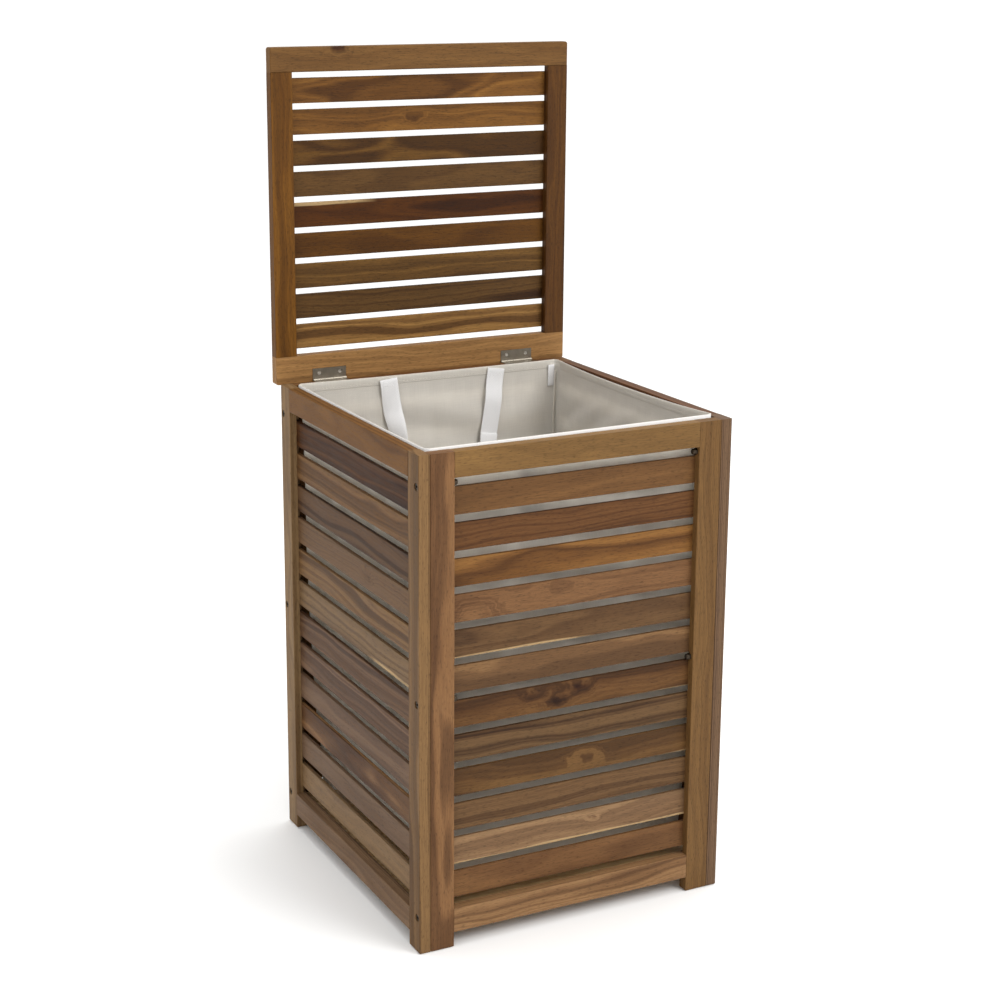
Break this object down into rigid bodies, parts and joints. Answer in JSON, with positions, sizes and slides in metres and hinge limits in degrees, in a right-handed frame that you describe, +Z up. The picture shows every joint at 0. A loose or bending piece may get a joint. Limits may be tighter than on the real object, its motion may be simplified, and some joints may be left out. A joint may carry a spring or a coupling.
{
  "type": "laundry hamper with lid",
  "caption": "Square slatted wooden laundry hamper with a flat slatted lid on two butt hinges, shown open, and a cloth bag with webbing handles hung inside.",
  "frame": {"origin": "at floor level, under the middle of the whole object's box with the lid standing open", "axes": "+X to the hamper's right, +Y to its back where the hinges are, +Z up"},
  "size_m": [0.408, 0.4182, 0.9962],
  "materials": {
    "acacia_frame": "planed and oiled acacia, satin",
    "acacia_slat": "planed and oiled acacia heartwood, satin",
    "acacia_lid_frame": "planed and oiled acacia, satin",
    "acacia_lid_slat": "planed and oiled acacia heartwood, satin",
    "acacia_hidden": "sawn acacia",
    "plywood": "sanded plywood",
    "beech_dowel": "fluted beech dowel",
    "steel_brad": "drawn steel wire",
    "nickel_hinge": "nickel plated, slightly dull",
    "zinc_steel": "bright zinc plated",
    "hook_tape": "woven hook tape",
    "cotton_webbing": "bleached cotton tape",
    "cotton_cloth": "plain woven cotton"
  },
  "bodies": {
    "body": {"back_bottom_rail": "acacia_frame", "back_left_stile": "acacia_frame", "back_right_stile": "acacia_frame", "back_slats": "acacia_slat", "back_top_rail": "acacia_frame", "bag_back_handle": "cotton_webbing", "bag_back_wall": "cotton_cloth", "bag_base": "cotton_cloth", "bag_corner_tabs": "cotton_webbing", "bag_front_handle": "cotton_webbing", "bag_front_wall": "cotton_cloth", "bag_hem": "cotton_webbing", "bag_left_wall": "cotton_cloth", "bag_right_wall": "cotton_cloth", "barrel_nuts": "zinc_steel", "batten_screws": "zinc_steel", "bottom_board": "plywood", "connector_bolts": "zinc_steel", "dome_nuts": "zinc_steel", "frame_dowels": "beech_dowel", "front_bottom_rail": "acacia_frame", "front_left_stile": "acacia_frame", "front_right_stile": "acacia_frame", "front_slats": "acacia_slat", "front_top_rail": "acacia_frame", "hinge_body_screws": "nickel_hinge", "hinge_pins": "nickel_hinge", "hook_tape": "hook_tape", "left_back_stile": "acacia_frame", "left_batten": "acacia_hidden", "left_bottom_rail": "acacia_frame", "left_front_stile": "acacia_frame", "left_hinge_body_leaf": "nickel_hinge", "left_slats": "acacia_slat", "left_top_rail": "acacia_frame", "right_back_stile": "acacia_frame", "right_batten": "acacia_hidden", "right_bottom_rail": "acacia_frame", "right_front_stile": "acacia_frame", "right_hinge_body_leaf": "nickel_hinge", "right_slats": "acacia_slat", "right_top_rail": "acacia_frame", "slat_brads": "steel_brad"},
    "lid": {"hinge_lid_screws": "nickel_hinge", "left_hinge_lid_leaf": "nickel_hinge", "lid_brads": "steel_brad", "lid_dowels": "beech_dowel", "lid_front_rail": "acacia_lid_frame", "lid_left_stile": "acacia_lid_frame", "lid_rear_rail": "acacia_lid_frame", "lid_right_stile": "acacia_lid_frame", "lid_slats": "acacia_lid_slat", "right_hinge_lid_leaf": "nickel_hinge"}
  },
  "joints": [
    {"name": "lid_hinge", "type": "hinge", "parent": "body", "child": "lid", "pos_m": [0, 0.1936, 0.5855], "axis": [1, 0, 0], "range_deg": [0, 90]}
  ]
}
